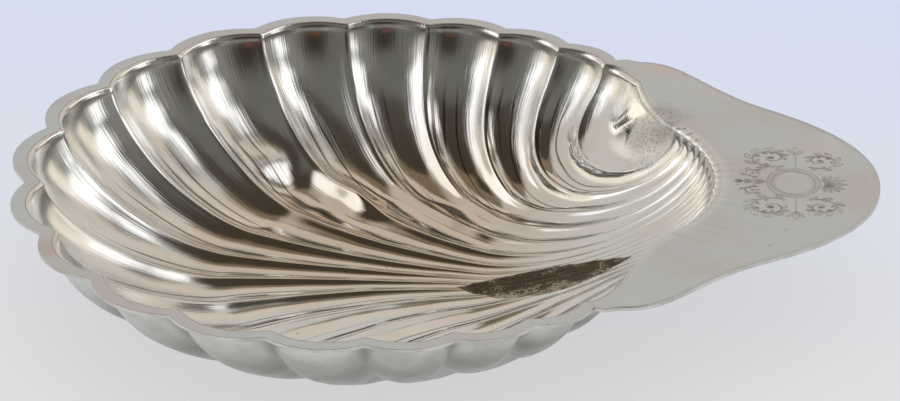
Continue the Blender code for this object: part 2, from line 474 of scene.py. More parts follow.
    def end_pocket(self, last_ridge: np.ndarray) -> np.ndarray:
        """Upper face of the wide pocket between the last ridge and the tab's shoulder.

        Args:
            last_ridge: Points along the fan's last ridge.

        Returns:
            Points by column and row.
        """
        edge = self.shoulder_edge(last_ridge)
        share = self.flute_places()[:, None, None]
        surface = edge * (1 - share) + last_ridge * share
        across = last_ridge - edge
        width = np.linalg.norm(across, axis=-1, keepdims=True)
        sag = width * unit(np.cross(across, np.gradient(last_ridge, axis=0)))
        margin = self.pocket_smooth_rows // 2
        padded = np.pad(sag, ((margin, margin), (0, 0)), mode="edge")
        sag = np.stack([padded[row:row + self.pocket_smooth_rows].mean(axis=0)
                        for row in range(len(sag))])
        rows = np.linspace(0, 1, len(sag))[None, :, None]
        depth = np.interp(rows, [0, self.pocket_lobe_rows],
                          [self.pocket_lobe_share, self.end_pocket_share])
        bulge = share ** 2 * (1 - share) * 27 / 4
        return surface - sag * depth * bulge

    def tab_outline(self, start: np.ndarray, places: np.ndarray) -> np.ndarray:
        """Half outline of the tab, from the flange's last notch to the tip on the axis.

        Args:
            start: The notch.
            places: Shares of the outline's length.

        Returns:
            A plan point for each share.
        """
        waist_turn = directions(self.waist_angle)
        shoulder, waist = np.array(self.shoulder), np.array(self.waist)
        tip = np.array([self.tab_reach, 0.0])
        share = np.linspace(0, 1, self.outline_points)
        spans = [
            bezier(start, start + np.array([self.notch_pull, self.notch_pull / 2]),
                   shoulder - np.array([self.notch_pull, 0.0]), shoulder, share),
            bezier(shoulder, shoulder + np.array([self.shoulder_pull, 0.0]),
                   waist - waist_turn * self.waist_pull_in, waist, share)[1:],
            bezier(waist, waist + waist_turn * self.waist_pull_out,
                   tip + np.array([0.0, self.tip_pull]), tip, share)[1:],
        ]
        return spread_evenly(np.concatenate(spans), places)

    def flange_and_tab(self, bowl: np.ndarray, flutes: np.ndarray) -> np.ndarray:
        """Rolled edge, flange and tab of the +Y half, from the bowl's edge to the outline.

        Args:
            bowl: Points of the bowl's +Y half, by column and row.
            flutes: Places of its columns in the fan.

        Returns:
            Points by place along the edge and outwards.
        """
        rim, shoulder, hinge = bowl[::-1, 0], bowl[0, 1:-1], bowl[:, -1]
        rim_normals = self.mouth_point(flutes)[1][::-1]
        hinge_normals = self.hinge_point(flutes)[1]
        share = np.linspace(0, 1, len(shoulder) + 2)[1:-1, None]
        shoulder_normals = unit(rim_normals[-1] * (1 - share) + hinge_normals[0] * share)
        edge = np.concatenate([rim, shoulder, hinge])
        normals = np.concatenate([rim_normals, shoulder_normals, hinge_normals])
        plan = edge[:, :2]
        rows = [edge]
        for step in range(1, self.bend_steps + 1):
            turn = math.pi / 2 * step / self.bend_steps
            rolled = plan + normals * self.bend_radius * (1 - math.cos(turn))
            rise = self.bend_radius * math.sin(turn)
            rows.append(np.column_stack([rolled, edge[:, 2] + rise]))
        outline = plan + normals * self.flange_width
        notch = len(bowl) - len(self.flute_places())
        outline[notch - 1:] = self.tab_outline(
            outline[notch - 1], np.linspace(0, 1, len(edge) - notch + 1))
        inner = rows[-1][:, :2]
        for step in range(1, self.flange_steps + 1):
            part = step / self.flange_steps
            rows.append(np.column_stack([inner * (1 - part) + outline * part,
                                         np.full(len(edge), self.rim_height)]))
        return np.stack(rows, axis=1)

    def both_halves(self, half: np.ndarray) -> np.ndarray:
        """Join a half grid, whose last column lies on the axis, to its mirror image."""
        return np.concatenate([half, half[-2::-1] * np.array([1.0, -1.0, 1.0])])

    def shaped(self, grid: np.ndarray, finish: HandFinish) -> np.ndarray:
        """Give a grid the waves of its hand finish, along its own normals.

        Args:
            grid: Points by column and row.
            finish: The hand finish.

        Returns:
            The moved points.
        """
        normals = unit(np.cross(np.gradient(grid, axis=0), np.gradient(grid, axis=1)))
        normals = np.nan_to_num(normals)
        return grid + normals * finish.rise(grid)[..., None]

    def surface_mesh(self) -> bpy.types.Mesh:
        """Mesh of the sheet's upper face, with a map of the flutes in its UVs.

        Returns:
            The mesh.
        """
        mirror = np.array([1.0, -1.0, 1.0])
        fan, fan_places = self.fan_of_flutes()
        pocket = self.end_pocket(fan[0])
        far_pocket = self.end_pocket(fan[-1] * mirror)[::-1] * mirror
        bowl = np.concatenate([pocket, fan, far_pocket])
        half = (len(bowl) + 1) // 2
        flutes = np.concatenate([self.flute_places(), fan_places])[:half]
        ring = self.flange_and_tab(bowl[:half], flutes)
        ring[[0, -1], :, 1] = 0.0
        ring = self.both_halves(ring)
        for knock in self.knocks:
            bowl = knock.applied(bowl)
        rows = np.arange(bowl.shape[1])
        edge_fade = np.minimum(rows, rows[::-1]) / self.wave_fade_rows
        wavy = self.shaped(bowl, self.bowl_waves)
        bowl = bowl + (wavy - bowl) * np.clip(edge_fade, 0, 1)[None, :, None]
        ring[:, self.bend_steps + 1:, 2] += self.tab_waves.rise(ring[:, self.bend_steps + 1:])
        all_flutes = np.concatenate([flutes, self.flute_count - flutes[-2::-1]])
        bowl_map = map_places(all_flutes / self.flute_count, np.linspace(0, 1, bowl.shape[1]))
        ring_map = map_places(np.linspace(0, 1, ring.shape[0]),
                              np.linspace(*self.ring_rows, ring.shape[1])[::-1])
        mesh = bmesh.new()
        uv = mesh.loops.layers.uv.new("flute_map")
        for grid, places in ((bowl, bowl_map), (ring, ring_map)):
            add_grid(mesh, uv, grid, places)
        bmesh.ops.remove_doubles(mesh, verts=mesh.verts, dist=self.merge_distance)
        bmesh.ops.recalc_face_normals(mesh, faces=mesh.faces)
        if sum(face.normal.z * face.calc_area() for face in mesh.faces) < 0:
            bmesh.ops.reverse_faces(mesh, faces=mesh.faces)
        bmesh.ops.translate(mesh, verts=mesh.verts,
                            vec=(-self.box_middle, 0.0, -self.sheet_sink))
        data = bpy.data.meshes.new(self.name)
        mesh.to_mesh(data)
        mesh.free()
        return data

    def build(self, box: tuple[Vector, Vector],
              finishes: list[bpy.types.Material]) -> bpy.types.Object:
        """Make the sheet with its real thickness.

        Args:
            box: Lowest and highest corner that it stays inside.
            finishes: Materials of the upper face, the underside and the cut edge.

        Returns:
            The finished piece.
        """
        shell = bpy.data.objects.new(self.name, self.surface_mesh())
        for finish in finishes:
            shell.data.materials.append(finish)
        bpy.context.scene.collection.objects.link(shell)
        sheet = shell.modifiers.new("sheet", "SOLIDIFY")
        sheet.thickness = self.sheet_thickness
        sheet.offset = -1.0
        sheet.use_even_offset = True
        sheet.use_quality_normals = True
        sheet.material_offset = 1
        sheet.material_offset_rim = 2
        edge = shell.modifiers.new("edge", "BEVEL")
        edge.width = self.edge_round
        edge.segments = 2
        edge.limit_method = "ANGLE"
        edge.angle_limit = self.sharp_angle
        edge.harden_normals = True
        evaluated = shell.evaluated_get(bpy.context.evaluated_depsgraph_get())
        data = bpy.data.meshes.new_from_object(evaluated)
        shell.modifiers.clear()
        shell.data = data
        places = np.empty(len(data.vertices) * 3)
        data.vertices.foreach_get("co", places)
        places = places.reshape(-1, 3).clip(box[0], box[1])
        data.vertices.foreach_set("co", places.ravel())
        data.shade_smooth()
        return shell

    @staticmethod
    def dress(shell: bpy.types.Object) -> None:
        """Say what the sheet rides on and stands for.

        Args:
            shell: The finished sheet.
        """
        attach(shell, BODY)
        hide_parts(NODE)


@dataclass(frozen=True)
class Cut:
    """One cut of the graver: a plan path in millimetres and the width of its groove."""

    path: np.ndarray
    width: float

    def mirrored(self) -> "Cut":
        """The same cut on the other side of the tab's axis."""
        return Cut(self.path * np.array([1.0, -1.0]), self.width)


@dataclass(frozen=True)
class Leaf:
    """One engraved leaf, in millimetres, degrees and radians a millimetre for its curl."""

    foot: Pair
    heading: float
    length: float
    width: float
    curl: float = 0.0


@dataclass(frozen=True)
class Scroll:
    """One engraved spiral, in millimetres; hand is 1 to wind one way and -1 the other."""

    centre: Pair
    radius: float
    start: float
    hand: int
    leaves: int
    leaf_length: float


@dataclass
class ScrollEngraving:
    """Leafy scrolls and husks round a reeded oval, cut into the tab's face.

    Its sizes are in millimetres and degrees, round a middle on the tab's axis.
    """

    name: str = "scroll_engraving"
    middle: float = 59.7
    deep: float = 0.30
    plain: float = 0.21
    hair: float = 0.14
    taper: float = 0.35
    groove: tuple[Pair, ...] = ((-0.5, -0.012), (-0.3, 0.02), (0.0, 0.003), (0.3, 0.02),
                                (0.5, -0.012))
    points: int = 60
    leaf_points: int = 9
    leaf_fullness: float = 0.8
    oval: Pair = (3.7, 4.9)
    frame_lines: Pair = (-0.4, 0.9)
    reeds: int = 48
    reed: Xyz = (0.15, 0.5, 0.8)
    reed_slant: float = 0.12
    scrolls: tuple[Scroll, ...] = (
        Scroll((-3.9, 10.0), 4.1, -52, -1, 9, 2.3),
        Scroll((4.6, 9.3), 3.4, -128, 1, 8, 2.0),
        Scroll((-6.9, 3.6), 1.7, -60, -1, 5, 1.3),
    )
    scroll_turns: float = 1.45
    scroll_eye: float = 0.14
    scroll_tightening: float = 1.15
    scroll_band: float = 0.1
    leaf_span: Pair = (0.02, 0.56)
    leaf_splay: float = 36
    leaf_slimness: float = 0.44
    leaf_curl: float = 0.22
    bud_span: Pair = (0.1, 0.42)
    bud_splay: float = 42
    bud_curl: float = 0.3
    petals: int = 5
    petal_size: Pair = (0.16, 0.09)
    stem: tuple[Pair, ...] = ((0.3, 6.0), (0.42, 7.9), (0.4, 9.7), (0.35, 11.5))
    leaves: tuple[Leaf, ...] = (
        Leaf((0.35, 11.5), 90, 3.3, 1.122),
        Leaf((0.35, 11.5), 64, 2.6, 0.884, -0.18),
        Leaf((0.35, 11.5), 116, 2.6, 0.884, 0.18),
    )
    palmette: Leaf = Leaf((5.3, 0.0), 0, 4.2, 1.1)
    palmette_foot: Xyz = (4.9, 0.4, 0.9)
    palmette_rays: tuple[Pair, ...] = ((20, 4.0), (39, 3.6), (59, 3.0), (80, 2.3))
    husks: tuple[Pair, ...] = ((-4.9, 2.3), (-7.0, 1.8), (-8.7, 1.4))

    def leaf(self, leaf: Leaf) -> list[Cut]:
        """Outline and midrib of one leaf.

        Args:
            leaf: The leaf.

        Returns:
            The cuts.
        """
        share = np.linspace(0, 1, self.leaf_points)
        turn = math.radians(leaf.heading) + leaf.curl * leaf.length * share
        step = leaf.length / (self.leaf_points - 1)
        ways = directions(turn)
        spine = leaf.foot + np.concatenate([[[0, 0]], np.cumsum(ways[:-1] * step, axis=0)])
        fullness = np.sin(math.pi * share ** self.leaf_fullness)
        side = left_of(ways) * (leaf.width / 2 * fullness)[:, None]
        outline = np.concatenate([spine + side, (spine - side)[::-1]])
        return [Cut(outline, self.plain), Cut(spine[1:-2], self.hair)]

    def scroll(self, scroll: Scroll) -> list[Cut]:
        """A spiral with leaves along its back, buds inside it and petals at its eye.

        Args:
            scroll: The spiral.

        Returns:
            The cuts.
        """
        hand, radius = scroll.hand, scroll.radius
        share = np.linspace(0, 1, self.points)
        angle = math.radians(scroll.start) + hand * self.scroll_turns * math.tau * share
        reach = radius * (self.scroll_eye
                          + (1 - self.scroll_eye) * (1 - share) ** self.scroll_tightening)
        ray = directions(angle)
        spine = np.array(scroll.centre) + ray * reach[:, None]
        ways = np.degrees(np.arctan2(*np.gradient(spine, axis=0).T[::-1]))
        inner = spine - ray * (self.scroll_band * radius * (1 - share))[:, None]
        cuts = [Cut(spine, self.deep), Cut(inner[:2 * self.points // 3], self.hair)]
        for place in np.linspace(*self.leaf_span, scroll.leaves):
            row = int(place * (self.points - 1))
            swell = 0.55 + 0.6 * math.sin(math.pi * (0.1 + 1.5 * place))
            length = scroll.leaf_length * swell
            cuts += self.leaf(Leaf(spine[row], ways[row] - hand * self.leaf_splay, length,
                                   self.leaf_slimness * length, self.leaf_curl * hand))
        for place in np.linspace(*self.bud_span, scroll.leaves - 4):
            row = int(place * (self.points - 1))
            cuts += self.leaf(Leaf(inner[row], ways[row] + hand * self.bud_splay,
                                   scroll.leaf_length / 2, scroll.leaf_length / 5,
                                   self.bud_curl * hand))
        length, width = self.petal_size
        for petal in range(self.petals):
            heading = 360 * petal / self.petals + scroll.start
            cuts += self.leaf(Leaf(scroll.centre, heading, length * radius, width * radius))
        return cuts

    def reserve(self) -> list[Cut]:
        """The oval left bare in the middle, in its reeded frame.

        Returns:
            The cuts.
        """
        ring = directions(np.linspace(0, math.tau, self.points))
        oval = np.array(self.oval)
        inner, outer = self.frame_lines
        cuts = [Cut(ring * oval, self.deep), Cut(ring * (oval + inner), self.hair),
                Cut(ring * (oval + outer), self.plain)]
        start, middle, end = self.reed
        for turn in np.linspace(0, math.tau, self.reeds, endpoint=False):
            way = directions(turn)
            slant = left_of(way) * self.reed_slant
            cuts.append(Cut(np.stack([way * (oval + start), way * (oval + middle) + slant,
                                      way * (oval + end)]), self.hair))
        return cuts

    def cuts(self) -> list[Cut]:
        """All cuts of the ornament, round its own middle.

        Returns:
            The cuts.
        """
        middle = self.reserve() + self.leaf(self.palmette)
        half = []
        for scroll in self.scrolls:
            half += self.scroll(scroll)
        for leaf in self.leaves:
            half += self.leaf(leaf)
        half.append(Cut(np.array(self.stem), self.plain))
        place, *ends = self.palmette_foot
        for heading, length in self.palmette_rays:
            turn = math.radians(heading)
            foot = (place + ends[0] * math.cos(turn), ends[1] * math.sin(turn))
            half += self.leaf(Leaf(foot, heading, length, 0.27 * length, 0.04))
        for place, length in self.husks:
            middle += self.leaf(Leaf((place, 0.0), 180, length, 0.45 * length))
            half += self.leaf(Leaf((place, 0.1), 150, 0.85 * length, 0.3 * length, 0.25))
        return middle + half + [cut.mirrored() for cut in half]

    def ribbon(self, cut: Cut, sheet: ShellSheet) -> np.ndarray:
        """Groove of one cut, with the burr along its sides.

        Args:
            cut: The cut.
            sheet: The sheet that it is cut into.

        Returns:
            Points by place along the cut and across it.
        """
        path = cut.path + np.array([self.middle, 0.0])
        ways = unit(np.gradient(path, axis=0) + 1e-9)
        side = left_of(ways)
        share = np.linspace(0, math.pi, len(path))
        width = cut.width * (1 - self.taper * (1 - np.sin(share)))
        rows = []
        for across, rise in self.groove:
            plan = (path + side * (width * across)[:, None]) * MM
            level = np.full(len(plan), sheet.rim_height)
            rows.append(np.column_stack([plan, level + rise * MM]))
        groove = np.stack(rows, axis=1)
        from_mouth = groove + np.array([sheet.box_middle, 0.0, 0.0])
        groove[..., 2] += sheet.tab_waves.rise(from_mouth) - sheet.sheet_sink
        return groove

    def build(self, sheet: ShellSheet, box: tuple[Vector, Vector],
              finish: bpy.types.Material) -> bpy.types.Object:
        """Cut the ornament.

        Args:
            sheet: The sheet that it is cut into.
            box: Lowest and highest corner that it stays inside.
            finish: Material of the grooves.

        Returns:
            The finished piece.
        """
        mesh = bmesh.new()
        uv = mesh.loops.layers.uv.new("groove_map")
        for cut in self.cuts():
            groove = self.ribbon(cut, sheet)
            groove[..., 2] = np.minimum(groove[..., 2], box[1].z)
            places = map_places(np.linspace(0, 1, groove.shape[0]),
                                np.array([across + 0.5 for across, _ in self.groove]))
            add_grid(mesh, uv, groove, places)
        for face in mesh.faces:
            face.normal_update()
            if face.normal.z < 0:
                face.normal_flip()
        data = bpy.data.meshes.new(self.name)
        mesh.to_mesh(data)
        mesh.free()
        data.materials.append(finish)
        data.shade_smooth()
        engraving = bpy.data.objects.new(self.name, data)
        bpy.context.scene.collection.objects.link(engraving)
        return engraving

    @staticmethod
    def dress(engraving: bpy.types.Object) -> None:
        """Say what the engraving rides on."""
        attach(engraving, BODY)


@dataclass(frozen=True)
class Cloud:
    """Soft random patches: their noise, and what its values from start to end turn into."""

    scale: float
    detail: float
    seed: float
    start: float
    end: float
    low: float = 0.0
    high: float = 1.0


class NodeBench:
    """Short calls for laying out the nodes of one material."""

    def __init__(self, name: str, metallic: float = 1.0) -> None:
        """Start a material with one shader.

        Args:
            name: Name of the material.
            metallic: 1 for metal, 0 for anything else.
        """
        self.material = bpy.data.materials.new(name)
        self.material.use_nodes = True
        self.nodes = self.material.node_tree.nodes
        self.links = self.material.node_tree.links
        self.shader = self.nodes["Principled BSDF"]
        self.shader.inputs["Metallic"].default_value = metallic
        self.coordinates = self.nodes.new("ShaderNodeTexCoord").outputs
        self.place = self.coordinates["Object"]

    def feed(self, socket: Socket, value: Feed) -> None:
        """Link a socket, or give it a plain value.

        Args:
            socket: Socket to feed.
            value: Another socket, a number or a row of numbers.
        """
        if isinstance(value, Socket):
            self.links.new(value, socket)
        else:
            socket.default_value = value

    def math(self, operation: str, first: Feed, *others: Feed) -> Socket:
        """Result of a sum on one value, or on two or more in turn.

        Args:
            operation: What the sum does.
            first: First value.
            others: Further values.

        Returns:
            The result.
        """
        for other in others or (0.0,):
            node = self.nodes.new("ShaderNodeMath")
            node.operation = operation
            self.feed(node.inputs[0], first)
            self.feed(node.inputs[1], other)
            first = node.outputs[0]
        return first

    def times(self, *values: Feed) -> Socket:
        """Product of some values."""
        return self.math("MULTIPLY", *values)

    def plus(self, *values: Feed) -> Socket:
        """Sum of some values."""
        return self.math("ADD", *values)

    def apart(self, first: Feed, second: Feed) -> Socket:
        """Distance between two values."""
        return self.math("ABSOLUTE", self.math("SUBTRACT", first, second))

    def step(self, value: Feed, start: Feed, end: Feed, low: float = 0.0,
             high: float = 1.0) -> Socket:
        """Smooth change of a value.

        Args:
            value: Value to follow.
            start: Where the change starts.
            end: Where it ends.
            low: Result before the start.
            high: Result after the end.

        Returns:
            The changed value.
        """
        node = self.nodes.new("ShaderNodeMapRange")
        node.interpolation_type = "SMOOTHSTEP"
        for socket, setting in zip(node.inputs, (value, start, end, low, high)):
            self.feed(socket, setting)
        return node.outputs["Result"]

    def point(self, x: Feed, y: Feed) -> Socket:
        """Join two values to a place.

        Args:
            x: First value.
            y: Second value.

        Returns:
            The place, at height 0.
        """
        node = self.nodes.new("ShaderNodeCombineXYZ")
        self.feed(node.inputs[0], x)
        self.feed(node.inputs[1], y)
        return node.outputs[0]

    def parts(self, place: Socket) -> list[Socket]:
        """Split a place into its three values.

        Args:
            place: The place.

        Returns:
            Its values.
        """
        node = self.nodes.new("ShaderNodeSeparateXYZ")
        self.links.new(place, node.inputs[0])
        return list(node.outputs)

    def mapped(self, name: str) -> list[Socket]:
        """Values of one of the mesh's maps.

        Args:
            name: Name of the map.

        Returns:
            Its first value, its second, and one left at 0.
        """
        node = self.nodes.new("ShaderNodeUVMap")
        node.uv_map = name
        return self.parts(node.outputs[0])

    def turned(self, angle: float, stretch: Xyz) -> Socket:
        """Places on the dish turned about the upright axis, then stretched.

        Args:
            angle: Turn in radians.
            stretch: Stretch along each axis.

        Returns:
            The places.
        """
        node = self.nodes.new("ShaderNodeMapping")
        self.links.new(self.place, node.inputs["Vector"])
        node.inputs["Rotation"].default_value = (0.0, 0.0, angle)
        node.inputs["Scale"].default_value = stretch
        return node.outputs[0]

    def noise(self, scale: float, detail: float, seed: float,
              place: Socket | None = None) -> Socket:
        """Soft random values around a half.

        Args:
            scale: How closely they change.
            detail: Number of finer layers.
            seed: Picks another draw.
            place: Where each value lies, if not at its own place on the dish.

        Returns:
            The values.
        """
        node = self.nodes.new("ShaderNodeTexNoise")
        node.noise_dimensions = "4D"
        self.links.new(self.place if place is None else place, node.inputs["Vector"])
        node.inputs["W"].default_value = seed
        node.inputs["Scale"].default_value = scale
        node.inputs["Detail"].default_value = detail
        return node.outputs["Fac"]

    def cloud(self, cloud: Cloud, place: Socket | None = None) -> Socket:
        """Patches of a cloud."""
        noise = self.noise(cloud.scale, cloud.detail, cloud.seed, place)
        return self.step(noise, cloud.start, cloud.end, cloud.low, cloud.high)

    def distance(self, centre: Xyz, place: Socket | None = None) -> Socket:
        """Distance from a centre, in metres.

        Args:
            centre: The centre.
            place: Where each distance is taken, if not at its own place on the dish.

        Returns:
            The distances.
        """
        node = self.nodes.new("ShaderNodeVectorMath")
        node.operation = "DISTANCE"
        self.links.new(self.place if place is None else place, node.inputs[0])
        node.inputs[1].default_value = centre
        return node.outputs["Value"]

    def blend(self, share: Feed, first: Feed, second: Feed, mode: str = "MIX") -> Socket:
        """Colour between two colours.

        Args:
            share: 0 for the first colour, 1 for the second.
            first: First colour.
            second: Second colour.
            mode: How the second colour is laid on.

        Returns:
            The colour.
        """
        node = self.nodes.new("ShaderNodeMix")
        node.data_type = "RGBA"
        node.blend_type = mode
        for number, value in ((0, share), (6, first), (7, second)):
            self.feed(node.inputs[number], value)
        return node.outputs[2]

    def bump(self, height: Socket, depth: float) -> None:
        """Carve the surface.

        Args:
            height: Heights between 0 and 1.
            depth: What a height of 1 stands for.
        """
        node = self.nodes.new("ShaderNodeBump")
        node.inputs["Distance"].default_value = depth
        self.links.new(height, node.inputs["Height"])
        self.links.new(node.outputs[0], self.shader.inputs["Normal"])

    def glow(self, colour: Feed, strength: float = 1.0) -> Socket:
        """Shader that gives off light of its own.

        Args:
            colour: Colour of the light.
            strength: How strong it is.

        Returns:
            The shader.
        """
        self.material.cycles.emission_sampling = "NONE"
        node = self.nodes.new("ShaderNodeEmission")
        self.feed(node.inputs["Color"], colour)
        self.feed(node.inputs["Strength"], strength)
        return node.outputs[0]

    def layered(self, share: Feed, under: Socket, over: Socket) -> Socket:
        """Shader between two shaders.

        Args:
            share: 0 for the lower shader, 1 for the upper one.
            under: The lower one.
            over: The upper one.

        Returns:
            The shader.
        """
        node = self.nodes.new("ShaderNodeMixShader")
        for socket, value in zip(node.inputs, (share, under, over)):
            self.feed(socket, value)
        return node.outputs[0]

    def show(self, shader: Socket) -> None:
        """Show a shader in place of the first one."""
        self.links.new(shader, self.nodes["Material Output"].inputs["Surface"])


@dataclass(frozen=True)
class ColourSpot:
    """A soft-edged spot of colour: most are tarnish, and three are small dark dots along the
    hinge.
    """

    centre: Xyz
    reach: float
    colour: Rgba
    strength: float


@dataclass(frozen=True)
class Zones:
    """Places in the flutes' map and masks of the upper face's zones, as sockets."""

    across: Socket
    along: Socket
    wall: Socket
    plate: Socket
    roll: Socket
    leaf: Socket
    matte: Socket
    buffing: Socket
    grain: Socket


@dataclass(frozen=True)
class SilverFinish:
    """Upper face of polished silver in use: buffed walls, dulled tab, stains and pits, and painted
    dark reflection lines beside the ridges.
    """

    name: str = "polished_silver_in_use"
    clean: Rgba = (0.975, 0.968, 0.95, 1.0)
    warm: Rgba = (0.90, 0.815, 0.72, 1.0)
    warm_sides: Pair = (-22 * MM, -4 * MM)
    warm_ends: Pair = (34 * MM, 6 * MM)
    warm_rows: Pair = (0.16, 0.36)
    warm_drift: float = 12 * MM
    breath: Rgba = (0.86, 0.83, 0.77, 1.0)
    breath_cloud: Cloud = Cloud(110.0, 3.0, 1.0, 0.42, 0.72, high=0.55)
    plate_green: Rgba = (0.81, 0.87, 0.90, 1.0)
    plate_rose: Rgba = (0.82, 0.80, 0.82, 1.0)
    plate_cloud: Cloud = Cloud(60.0, 2.0, 3.0, 0.42, 0.62)
    grime: Rgba = (0.42, 0.40, 0.37, 1.0)
    grime_ends: Pair = (36 * MM, 30 * MM)
    grime_shares: Pair = (0.15, 0.7)
    specks: Cloud = Cloud(900.0, 1.0, 12.0, 0.74, 0.78, high=0.6)
    # Painted reflections: thin dark lines across the flutes, mostly beside the ridges, with their
    # colour, share and layout.
    painted_reflection_dark: Rgba = (0.26, 0.22, 0.17, 1.0)
    painted_reflection_share: float = 0.92
    painted_line_places: tuple[Pair, ...] = ((0.56, 0.022), (0.76, 0.028), (0.93, 0.034))
    painted_line_stretch: Pair = (40.0, 4.0)
    painted_line_sway: Cloud = Cloud(1.0, 1.0, 60.0, 0.3, 0.7, -0.04, 0.04)
    painted_line_gaps: Cloud = Cloud(1.0, 1.0, 61.0, 0.34, 0.54, 0.15)
    painted_line_start: Pair = (0.10, 0.18)
    painted_line_end: Pair = (0.80, 0.62)
    painted_line_fan: Pair = (0.447, 0.442)
    crust_dark: Rgba = (0.13, 0.095, 0.06, 1.0)
    crust_pale: Rgba = (0.72, 0.62, 0.50, 1.0)
    crust_worn: Cloud = Cloud(380.0, 4.0, 17.0, 0.40, 0.68, 0.60, 0.40)
    crust_sides: Pair = (-7.5 * MM, -3.5 * MM)
    crust_side_gain: float = 0.2
    crust_contrast: float = 0.22
    floor_roughness: float = 0.06
    wall_roughness: float = 0.15
    plate_roughness: float = 0.30
    roll_roughness: float = 0.2
    leaf_roughness: float = 0.5
    matte_roughness: float = 0.46
    smear_roughness: float = 0.08
    line_roughness: float = 0.1
    polish: float = 0.05
    wall_rows: Pair = (0.45, 0.10)
    plate_rows: Pair = (-0.07, -0.085)
    roll_inner: Pair = (-0.058, -0.070)
    roll_outer: Pair = (-0.0765, -0.0740)
    buff_lines: float = 1000.0
    buff_stretch: float = 7.0
    buff_depth: float = 0.045 * MM
    floor_buffing: float = 0.2
    grain_scale: float = 2400.0
    grain_depth: float = 6.0
    scratch_turns: Xyz = (0.35, -0.8, 1.9)
    scratch_stretch: Xyz = (60.0, 3200.0, 60.0)
    scratch_depth: float = 0.12
    matte_middle: Xyz = (35.5 * MM, 26 * MM, 17.5 * MM)
    matte_reach: float = 7 * MM
    matte_soft: float = 3.5 * MM
    matte_wobble: float = 5 * MM
    matte_depth: float = 0.35
    pit_grain: Pair = (0.52, 0.60)
    pit_share: float = 0.55
    leaf_middle: Pair = (17.6 * MM, -2.7 * MM)
    leaf_half_length: float = 15.0 * MM
    leaf_half_width: float = 5.3 * MM
    leaf_wobble: float = 0.9 * MM
    leaf_edge: Pair = (0.55 * MM, 0.1 * MM)
    colour_spots: tuple[ColourSpot, ...] = (
        ColourSpot((46 * MM, 38 * MM, 21.6 * MM), 6 * MM, (0.98, 0.80, 0.70, 1.0), 0.55),
        ColourSpot((36 * MM, 46 * MM, 21.6 * MM), 9 * MM, (0.95, 0.85, 0.74, 1.0), 0.5),
        ColourSpot((66 * MM, 14 * MM, 21.6 * MM), 9 * MM, (0.97, 0.86, 0.80, 1.0), 0.45),
        ColourSpot((-62 * MM, -37 * MM, 21.6 * MM), 6 * MM, (0.78, 0.62, 0.48, 1.0), 0.6),
        ColourSpot((-45 * MM, 14 * MM, 2 * MM), 3 * MM, (0.92, 0.72, 0.50, 1.0), 0.5),
        # Three small dark dots along the top of the hinge.
        ColourSpot((40.7 * MM, 21 * MM, 21.6 * MM), 0.42 * MM, (0.05, 0.045, 0.04, 1.0), 0.95),
        ColourSpot((41.9 * MM, 18.9 * MM, 21.6 * MM), 0.46 * MM, (0.05, 0.045, 0.04, 1.0), 0.95),
        ColourSpot((42.9 * MM, 16.6 * MM, 21.6 * MM), 0.36 * MM, (0.05, 0.045, 0.04, 1.0), 0.9),
    )

    def build(self) -> bpy.types.Material:
        """Make the material.

        Returns:
            The material.
        """
        bench = NodeBench(self.name)
        zones = self.zones(bench)
        bench.feed(bench.shader.inputs["Base Color"], self.colour(bench, zones))
        bench.feed(bench.shader.inputs["Roughness"], self.roughness(bench, zones))
        bench.bump(self.relief(bench, zones), self.buff_depth)
        return bench.material

    def zones(self, bench: NodeBench) -> Zones:
        """Lay out the masks.

        Args:
            bench: Where the nodes are laid out.

        Returns:
            The masks.
        """
        across, along, _ = bench.mapped("flute_map")
        place = bench.point(bench.times(across, self.buff_lines),
                            bench.times(along, self.buff_stretch))
        return Zones(
            across=across,
            along=along,
            wall=bench.step(along, *self.wall_rows),
            plate=bench.step(along, *self.plate_rows),
            roll=bench.times(bench.step(along, *self.roll_inner),
                             bench.step(along, *self.roll_outer)),
            leaf=self.leaf(bench),
            matte=self.matte(bench),
            buffing=bench.noise(1.0, 2.0, 0.0, place),
            grain=bench.noise(self.grain_scale, 3.0, 5.0),
        )

    def leaf(self, bench: NodeBench) -> Socket:
        """Mask of the leaf-shaped crust of old tarnish on the floor.

        Args:
            bench: Where the nodes are laid out.

        Returns:
            The mask.
        """
        width, length = self.leaf_half_width, self.leaf_half_length
        radius = (length ** 2 + width ** 2) / (2 * width)
        x, y = self.leaf_middle
        flat = bench.point(*bench.parts(bench.place)[:2])
        sides = [bench.distance((x, y + side, 0.0), flat)
                 for side in (radius - width, width - radius)]
        wobble = bench.times(bench.noise(700.0, 3.0, 9.0), self.leaf_wobble)
        reach = bench.plus(bench.math("MAXIMUM", *sides), wobble)
        return bench.step(reach, *(radius + edge for edge in self.leaf_edge))

    def matte(self, bench: NodeBench) -> Socket:
        """Mask of the pitted matte patch in the end pocket by the hinge.

        Args:
            bench: Where the nodes are laid out.

        Returns:
            The mask.
        """
        uneven = bench.times(bench.noise(260.0, 3.0, 50.0), self.matte_wobble)
        reach = bench.plus(bench.distance(self.matte_middle), uneven)
        return bench.step(reach, self.matte_reach + self.matte_soft, self.matte_reach)

    def painted_dark_lines(self, bench: NodeBench, zones: Zones) -> Socket:
        """Thin dark lines beside the ridges, painted reflections in the polished flutes.

        Args:
            bench: Where the nodes are laid out.
            zones: Masks of the zones.

        Returns:
            The lines' mask.
        """
        flute = bench.math("FRACT", bench.times(zones.across, float(ShellSheet.flute_count)))
        slow = bench.point(*map(bench.times, (zones.across, zones.along), self.painted_line_stretch))
        flute = bench.plus(flute, bench.cloud(self.painted_line_sway, slow))
        lines = []
        for number, (place, width) in enumerate(self.painted_line_places):
            gaps = replace(self.painted_line_gaps, seed=self.painted_line_gaps.seed + number)
            line = bench.step(bench.apart(flute, place), width, width / 2)
            lines.append(bench.times(line, bench.cloud(gaps, slow)))
        return bench.times(bench.math("MAXIMUM", *lines),
                           bench.step(zones.along, *self.painted_line_start),
                           bench.step(zones.along, *self.painted_line_end),
                           bench.step(bench.apart(zones.across, 0.5), *self.painted_line_fan))

